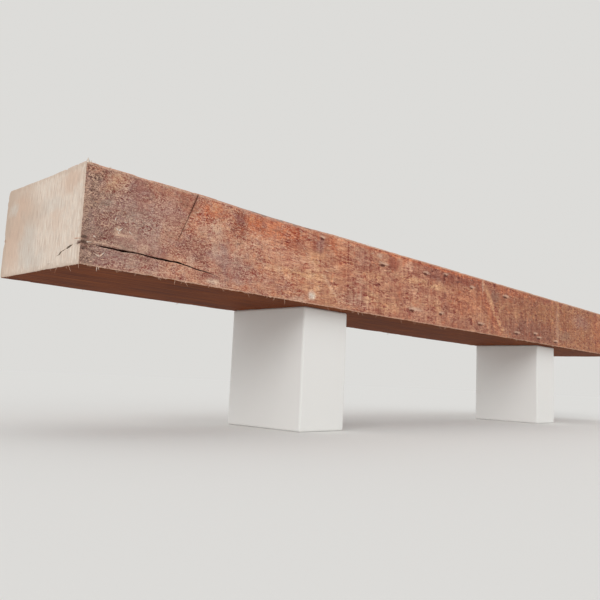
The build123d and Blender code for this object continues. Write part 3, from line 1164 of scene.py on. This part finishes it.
def end_finish(colours):
    """Pale cut end with fine upright saw lines and soft warm and cool patches."""
    material, tree = new_material("cut_end")
    where = effect(tree, "Beam Place")
    place = where["Place"]
    mottle = stretched_noise(tree, place, END_MOTTLE, 5.0)
    warm, cool = (0.36, 0.5, 0.2, 0.0, colours.end_warm), (0.5, 0.64, 0.0, 0.25, colours.end_cool)
    colour = lay_by(tree, mottle, colours.end, warm, cool)
    for y, z, half_y, half_z, name, strength in END_STAINS:
        mask = patch(tree, where["Wander"], (0.0, y, z), (ALL_ALONG, half_y, half_z))
        colour = blend(tree, times(tree, mask, strength), colour, getattr(colours, name))
    by_arris = times(tree, near_arris(tree, place, END_WEAR), 0.4)
    colour = blend(tree, by_arris, colour, colours.end_edge)
    line = saw_lines(tree, place, END_SAW)["Line"]
    wide_line = saw_lines(tree, place, END_WIDE_SAW)["Line"]
    colour = lay_by(tree, line, colour, (0.3, 0.6, 0.65, 0.0, colours.end_line))
    colour = lay_by(tree, wide_line, colour, (0.5, 0.7, 0.0, 0.35, colours.end_line))
    # Painted shade of the broken-out corner at the check's mouth, reaching onto the end
    corner = patch(tree, where["Shiver"], (0.0, 2.0, 27.2), (60.0, 6.0, 2.2))
    colour = blend(tree, times(tree, corner, 0.75), colour, colours.shade)
    # Painted shade inside the open check where it crosses the end
    crevice_shade = painted(tree, "crevice_shade")["Fac"]
    colour = lay_by(tree, crevice_shade, colour, (0.0, 0.3, 0.0, 1.0, colours.pore))
    pores = node(tree, "TexVoronoi", {"Vector": place, "Scale": 0.6}).outputs["Distance"]
    colour = lay_by(tree, pores, colour, (0.05, 0.3, 0.5, 0.0, colours.end_line))
    colour = shaded(tree, colour, calc(tree, "MULTIPLY_ADD", line, 0.42, 0.8))
    height = calc(tree, "MULTIPLY_ADD", pores, 0.3, line)
    return finish_surface(material, colour, between(tree, line, 0.3, 0.7, 0.78, 0.66), height, 0.5)


def top_finish(colours):
    """Top face: weathered grain with fine cracks along it, and grey dust in the hollows."""
    material, tree = new_material("dusty_top")
    place = effect(tree, "Beam Place")["Place"]
    broad = stretched_noise(tree, place, TOP_TONES, 6.0)
    colour = lay_by(tree, broad, colours.plum, (0.36, 0.64, 0.0, 1.0, colours.heartwood))
    layers = [
        (size, stretch + 2.5, slant * 0.4, *contrasts)
        for size, stretch, slant, *contrasts in GRAIN_LAYERS
    ]
    brightness, height, finest = torn_grain(tree, place, layers, 0.4)
    dusty = calc(tree, "MULTIPLY_ADD", brightness, -0.5, calc(tree, "ADD", broad, 0.5))
    colour = shaded(tree, colour, brightness)
    colour = lay_by(tree, dusty, colour, (0.3, 0.75, 0.35, 0.85, colours.dust))
    cracks = stretched_noise(tree, place, TOP_CRACKS, 5.0)
    cracks = between(tree, cracks, 0.3, 0.42, 0.8, 0.0)
    colour = blend(tree, cracks, colour, colours.pore)
    by_arris = times(tree, near_arris(tree, place, TOP_WEAR), 0.9)
    colour = blend(tree, by_arris, colour, colours.blush)
    height = calc(tree, "MULTIPLY_ADD", cracks, -3.0, height)
    return finish_surface(material, colour, run(tree, finest, 0.8, 0.95), height, 0.35)


def bed_finish(colours):
    """Bed face: smoother, orange brown, with long fine streaks; its colours darker in part as painted
    shade.
    """
    material, tree = new_material("smooth_bed_painted_shade", specular=0.1)
    place = effect(tree, "Beam Place")["Place"]
    streaks = stretched_noise(tree, place, BED_STREAKS, 5.0)
    middle, pale = (0.36, 0.55, 0.0, 1.0, colours.bed), (0.5, 0.7, 0.0, 0.8, colours.bed_pale)
    colour = lay_by(tree, streaks, colours.bed_dark, middle, pale)
    return finish_surface(material, colour, run(tree, streaks, 0.7, 0.9), streaks, 0.5)


def fibre_finish(colours, fresh=False):
    """Loose fibres: pale and dry, some of them red, or all of them pale where torn lately."""
    material, tree = new_material("fresh_splinter" if fresh else "loose_fibre")
    tone = clouds(tree, effect(tree, "Beam Place")["Place"], 0.09, 2.0)["Fac"]
    darker, paler = (colours.pale, colours.end) if fresh else (colours.heartwood, colours.pale)
    colour = lay_by(tree, tone, darker, (0.3, 0.46, 0.0, 1.0, paler))
    return finish_surface(material, colour, between(tree, tone, 0.3, 0.7, 0.7, 0.85), tone, 0.1)


def surface_finder(timber):
    """A function that gives the timber's surface and normal, in millimetres on the beam."""
    tree = BVHTree.FromPolygons(
        [vertex.co.copy() for vertex in timber.data.vertices],
        [tuple(polygon.vertices) for polygon in timber.data.polygons],
    )

    def find(place):
        hit, normal, _, _ = tree.find_nearest(LOW + Vector(place) * MM)
        return (hit - LOW) / MM, normal

    return find


def tapered_blade(points, widths, thickness, side):
    """Vertices and faces of a thin four-sided blade along points, closed at both ends."""
    vertices = []
    for index, (point, width) in enumerate(zip(points, widths)):
        ahead = points[min(index + 1, len(points) - 1)] - points[max(index - 1, 0)]
        across = side * width / 2
        lift = ahead.cross(side).normalized() * thickness * width / max(widths) / 2
        vertices += [point + across, point + lift, point - across, point - lift]
    last_ring = len(vertices) - 4
    faces = [(3, 2, 1, 0), tuple(last_ring + n for n in range(4))]
    for start in range(0, last_ring, 4):
        for corner in range(4):
            here, following = start + corner, start + (corner + 1) % 4
            faces.append((here, following, following + 4, here + 4))
    return vertices, faces


def gather(blades):
    """Joins lists of vertices and faces into one."""
    vertices, faces = [], []
    for points, rings in blades:
        faces += [tuple(len(vertices) + n for n in face) for face in rings]
        vertices += points
    return vertices, faces


def hair_roots(draw):
    """Where a hair grows: a place on an arris, and the way it points."""
    arrises = (
        (0.34, lambda: ((draw.uniform(0, 1) ** 1.5 * LENGTH, 0, 0), (0, -0.25, -1.0))),
        (0.22, lambda: ((draw.uniform(0, 1) ** 1.3 * LENGTH, 0, THICKNESS), (0, -0.5, 0.9))),
        (0.08, lambda: ((0, 0, draw.uniform(0, THICKNESS)), (-0.8, -0.5, 0))),
        (0.06, lambda: ((0, draw.uniform(0, WIDTH), 0), (-0.5, 0, -0.9))),
        (0.08, lambda: ((draw.uniform(0, LENGTH), WIDTH, 0), (0, 0.6, -0.6))),
        (0.08, lambda: ((LENGTH, draw.uniform(0, WIDTH), THICKNESS), (0.7, 0, 0.6))),
    )
    shares, roots = zip(*arrises)
    return draw.choices(roots, shares)[0]()


def make_hairs(find, settings, colours):
    """Fine hairs of fibre that hang and stand along the arrises."""
    draw = random.Random(settings.seed)
    width = settings.hair_width
    widths = [width * share for share in (1.0, 0.9, 0.75, 0.5, 0.15)]
    root_depth, curl = 0.6, 0.16
    blades = []
    for _ in range(settings.hairs):
        start, aim = hair_roots(draw)
        root, normal = find(start)
        length = settings.hair_length * (0.12 + 0.7 * draw.random() ** 6)
        wander = Vector((draw.uniform(-1.4, 1.4), draw.uniform(-0.4, 0.4), draw.uniform(-0.4, 0.4)))
        heading = (Vector(aim) + wander).normalized()
        bend = Vector((draw.uniform(-1, 1), draw.uniform(-0.5, 0.5), draw.uniform(-1, 0.3)))
        points, at = [], root - normal * root_depth
        for step in range(len(widths)):
            points.append(at.copy())
            heading = (heading + bend * curl * step).normalized()
            at = at + heading * length / (len(widths) - 1)
        side = heading.cross(Vector((0.3, 0.5, 0.8))).normalized()
        blades.append(tapered_blade(points, widths, width, side))
    return new_piece("standing_hairs", *gather(blades), [fibre_finish(colours)])


# Places along a sliver or a splinter, as shares of its length
BLADE_SHARES = (0.0, 0.35, 0.7, 1.0)

# Single splinters in view: root in millimetres, heading, length and width
SPLINTERS = (
    ((1.2, 0.6, 128.0), (-0.1, -0.1, 1.0), 9.0, 5.5),
    ((3.5, 0.6, 130.5), (0.6, -0.1, 1.0), 4.5, 2.4),
    ((30.0, 0.6, 131.0), (0.9, -0.1, 0.5), 6.0, 1.8),
    ((6.0, 0.0, 29.0), (1.0, -0.06, 0.12), 11.0, 1.3),
    ((28.0, 0.0, 13.5), (-1.0, -0.15, 0.3), 10.0, 2.0),
    ((27.0, 0.0, 13.0), (0.7, -0.15, 0.8), 10.0, 2.5),
    ((16.0, 0.0, 39.0), (0.9, -0.15, -0.5), 6.0, 1.8),
    ((51.0, 0.0, 51.0), (0.75, -0.1, 0.65), 9.0, 2.2),
    ((51.5, 0.0, 52.0), (-0.6, -0.1, 0.5), 6.0, 2.4),
    ((46.0, 0.0, 64.0), (0.1, -0.1, 1.0), 6.0, 1.8),
    ((51.0, 0.0, 50.0), (0.5, -0.1, -0.5), 4.0, 2.0),
    ((63.0, 0.0, 64.5), (-0.9, -0.1, 0.3), 5.0, 1.2),
    ((73.0, 0.0, 66.0), (0.6, -0.1, -0.6), 4.0, 1.3),
    ((66.0, 0.0, 55.0), (0.8, -0.1, -0.6), 11.0, 1.1),
    ((25.0, 0.5, 0.5), (-0.1, -0.1, -1.0), 7.0, 0.9),
    ((27.0, 0.5, 0.5), (0.3, -0.1, -1.0), 5.0, 0.7),
)


def make_splinters(find):
    """The splinters that show best, each a blade with its root in the surface."""
    thickness, root_depth = 0.4, 0.6
    blades = []
    for place, aim, length, width in SPLINTERS:
        root, _ = find(place)
        heading = Vector(aim).normalized()
        side = heading.cross(Vector((0.0, 1.0, 0.0))).normalized()
        points = [root + heading * (length * share - 0.5) for share in BLADE_SHARES]
        points[0] += Vector((0.0, root_depth, 0.0))
        widths = [width * share for share in (0.8, 1.0, 0.55, 0.1)]
        blades.append(tapered_blade(points, widths, thickness, side))
    return blades


def make_slivers(find, settings, colours):
    """Flat slivers torn up by the saw, lying along the grain with one end raised."""
    draw = random.Random(settings.seed + 1)
    thickness, front_share, tilt_spread = 0.35, 0.7, 22
    blades = make_splinters(find)
    splinter_faces = sum(len(rings) for _, rings in blades)
    for _ in range(settings.slivers):
        y = 0 if draw.random() < front_share else WIDTH
        x = draw.uniform(0, 1) ** 1.4 * LENGTH
        z = draw.betavariate(0.6, 0.6) * THICKNESS
        root, normal = find((x, y, z))
        length = settings.sliver_length * (0.3 + 0.7 * draw.random() ** 2)
        tilt = math.radians(draw.gauss(0, tilt_spread))
        along = Vector((math.cos(tilt), 0, math.sin(tilt))) * draw.choice((-1, 1))
        across = normal.cross(along).normalized()
        along = across.cross(normal).normalized()
        lifts = zip(BLADE_SHARES, (-0.15, 0.12, 0.3, 0.3 + 1.3 * draw.random() ** 2))
        points = [root + along * length * share + normal * lift for share, lift in lifts]
        width = settings.sliver_width * draw.uniform(0.45, 1.0)
        widths = [width * share for share in (0.5, 1.0, 0.8, 0.12)]
        blades.append(tapered_blade(points, widths, thickness, across))
    vertices, faces = gather(blades)
    finishes = [1] * splinter_faces + [0] * (len(faces) - splinter_faces)
    materials = [fibre_finish(colours), fibre_finish(colours, fresh=True)]
    return new_piece("torn_slivers", vertices, faces, materials, finishes)


# The stage: where the two blocks start and stop along the beam, in millimetres, and in metres
# how far they stay behind its front and before its rear, their eased edges, and the floor's size
BLOCKS = ((450, 570), (1430, 1550))
BLOCK_FRONT_INSET = 0.03
BLOCK_REAR_INSET = 0.01
EASED_EDGE = 0.004
FLOOR_HALF_WIDTH = 30.0
FLOOR_THICKNESS = 0.05

# The two suns: the place each shines from, in metres, and its width in the sky, in degrees
KEY_PLACE, KEY_ANGLE = (-4.2, -1.9, 1.9), 27
FILL_PLACE, FILL_ANGLE = (0.5, -2.6, 0.3), 50

# Camera of the photograph: place from the beam's near, front, bottom corner, and its turns
CAMERA_PLACE = Vector((-0.4014, -0.7541, -0.1328))
CAMERA_HEADING = -46.90
CAMERA_RISE = 7.04
CAMERA_ROLL = 2.56


def plain_material(name, colour):
    """Matte studio material of one colour."""
    material, tree = new_material(name, specular=0.0)
    shader = tree.nodes["Principled BSDF"]
    shader.inputs["Base Color"].default_value = colour
    shader.inputs["Roughness"].default_value = 1.0
    return material


def stage_box(name, low, high, material):
    """A plain block of the stage, with eased edges, from corner to corner in metres."""
    (x0, y0, z0), (x1, y1, z1) = low, high
    corners = [(x, y, z) for x in (x0, x1) for y in (y0, y1) for z in (z0, z1)]
    faces = [(0, 1, 3, 2), (4, 6, 7, 5), (0, 4, 5, 1), (2, 3, 7, 6), (0, 2, 6, 4), (1, 5, 7, 3)]
    mesh = bpy.data.meshes.new(name)
    mesh.from_pydata(corners, [], faces)
    mesh.materials.append(material)
    block = link_object(name, mesh)
    bevel = block.modifiers.new("eased", "BEVEL")
    bevel.width = EASED_EDGE
    bevel.segments = 3


def add_lamp(name, place, target, strength, angle):
    """Soft sun that shines from a place to a point, as wide in the sky as an angle."""
    data = bpy.data.lights.new(name, "SUN")
    data.energy = strength
    data.angle = math.radians(angle)
    lamp = link_object(name, data)
    lamp.location = place
    lamp.rotation_euler = (Vector(target) - Vector(place)).to_track_quat("-Z", "Y").to_euler()


def add_camera(lens):
    """The photograph's camera, a little lower than the bed face and looking up at it."""
    data = bpy.data.cameras.new("camera")
    data.lens = lens
    data.sensor_width = 36.0
    data.clip_start = 0.01
    camera = link_object("camera", data)
    turns = ((CAMERA_HEADING, "Z"), (90 + CAMERA_RISE, "X"), (CAMERA_ROLL, "Z"))
    heading, rise, roll = (Matrix.Rotation(math.radians(angle), 4, axis) for angle, axis in turns)
    camera.matrix_world = Matrix.Translation(LOW + CAMERA_PLACE) @ (heading @ rise @ roll)
    bpy.context.scene.camera = camera


def light_world(strength, seen_strength, floor):
    """Even light from all round, and for the camera a backdrop as bright as the lit floor."""
    world = bpy.data.worlds.new("studio")
    bpy.context.scene.world = world
    world.use_nodes = True
    tree = world.node_tree
    tree.nodes.clear()
    even = node(tree, "Background", {"Color": (1, 1, 1, 1), "Strength": strength})
    backdrop = node(tree, "Background", {"Color": floor, "Strength": seen_strength})
    path = node(tree, "LightPath")
    seen_rays = calc(tree, "MAXIMUM", path.outputs["Is Camera Ray"], path.outputs["Is Glossy Ray"])
    mixed = node(tree, "MixShader", {0: seen_rays, 1: even.outputs[0], 2: backdrop.outputs[0]})
    node(tree, "OutputWorld", {"Surface": mixed.outputs[0]})


class SLEEPER_OT_timber(bpy.types.Operator):
    """Make the sawn beam that stands for the plain solid"""

    bl_idname = "sleeper.timber"
    bl_label = "Timber"

    def execute(self, context):
        scene = context.scene
        marks = in_millimetres(scene.sleeper_marks)
        timber = make_timber(marks, in_millimetres(scene.sleeper_relief), scene.sleeper_colours)
        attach(timber, BODY)
        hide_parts(NODE)
        return {"FINISHED"}


class SLEEPER_OT_fibres(bpy.types.Operator):
    """Raise hairs along the arrises and slivers on the sides"""

    bl_idname = "sleeper.fibres"
    bl_label = "Loose fibres"

    def execute(self, context):
        scene = context.scene
        find = surface_finder(bpy.data.objects["timber"])
        settings = in_millimetres(scene.sleeper_fibres)
        for make in (make_hairs, make_slivers):
            piece = make(find, settings, scene.sleeper_colours)
            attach(piece, BODY)
        return {"FINISHED"}


class SLEEPER_OT_studio(bpy.types.Operator):
    """Set up the floor, the blocks that carry the beam, the lamps and the camera"""

    bl_idname = "sleeper.studio"
    bl_label = "Studio"

    def execute(self, context):
        studio = context.scene.sleeper_studio
        context.scene.view_settings.view_transform = "Standard"
        pale = plain_material("studio_floor", studio.floor)
        half, bottom = FLOOR_HALF_WIDTH, LOW.z - studio.floor_drop
        stage_box("floor", (-half, -half, bottom - FLOOR_THICKNESS), (half, half, bottom), pale)
        for start, stop in BLOCKS:
            low = (LOW.x + start * MM, LOW.y + BLOCK_FRONT_INSET, bottom)
            high = (LOW.x + stop * MM, HIGH.y - BLOCK_REAR_INSET, LOW.z)
            stage_box(f"block_{start}", low, high, pale)
        light_world(studio.sky, studio.backdrop, studio.floor)
        centre = (LOW + HIGH) / 2
        add_lamp("key", KEY_PLACE, centre, studio.key, KEY_ANGLE)
        add_lamp("low_fill", FILL_PLACE, centre, studio.fill, FILL_ANGLE)
        add_camera(studio.lens)
        return {"FINISHED"}


class SLEEPER_PT_panel(bpy.types.Panel):
    """Lists the sleeper's pieces and their settings"""

    bl_idname = "SLEEPER_PT_panel"
    bl_label = "Railway Sleeper"
    bl_space_type = "VIEW_3D"
    bl_region_type = "UI"
    bl_category = "Sleeper"

    def draw(self, context):
        for operator in OPERATORS:
            self.layout.operator(operator.bl_idname)
        for name, group in SETTINGS.items():
            box = self.layout.box()
            box.label(text=group.__doc__)
            for setting in group.__annotations__:
                box.prop(getattr(context.scene, name), setting)


OPERATORS = (SLEEPER_OT_timber, SLEEPER_OT_fibres, SLEEPER_OT_studio)
SETTINGS = {
    "sleeper_marks": SleeperMarks,
    "sleeper_relief": SleeperRelief,
    "sleeper_fibres": SleeperFibres,
    "sleeper_colours": SleeperColours,
    "sleeper_studio": SleeperStudio,
}


def register():
    """Registers the settings, the operators and the panel."""
    for name, group in SETTINGS.items():
        bpy.utils.register_class(group)
        setattr(bpy.types.Scene, name, PointerProperty(type=group))
    for operator in OPERATORS:
        bpy.utils.register_class(operator)
    bpy.utils.register_class(SLEEPER_PT_panel)


def unregister():
    """Takes back what register did."""
    bpy.utils.unregister_class(SLEEPER_PT_panel)
    for operator in reversed(OPERATORS):
        bpy.utils.unregister_class(operator)
    for name, group in reversed(SETTINGS.items()):
        delattr(bpy.types.Scene, name)
        bpy.utils.unregister_class(group)


def main():
    """Makes every piece in order."""
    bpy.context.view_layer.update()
    register()
    bpy.ops.sleeper.timber()
    bpy.ops.sleeper.fibres()
    bpy.ops.sleeper.studio()


if __name__ == "__main__":
    main()
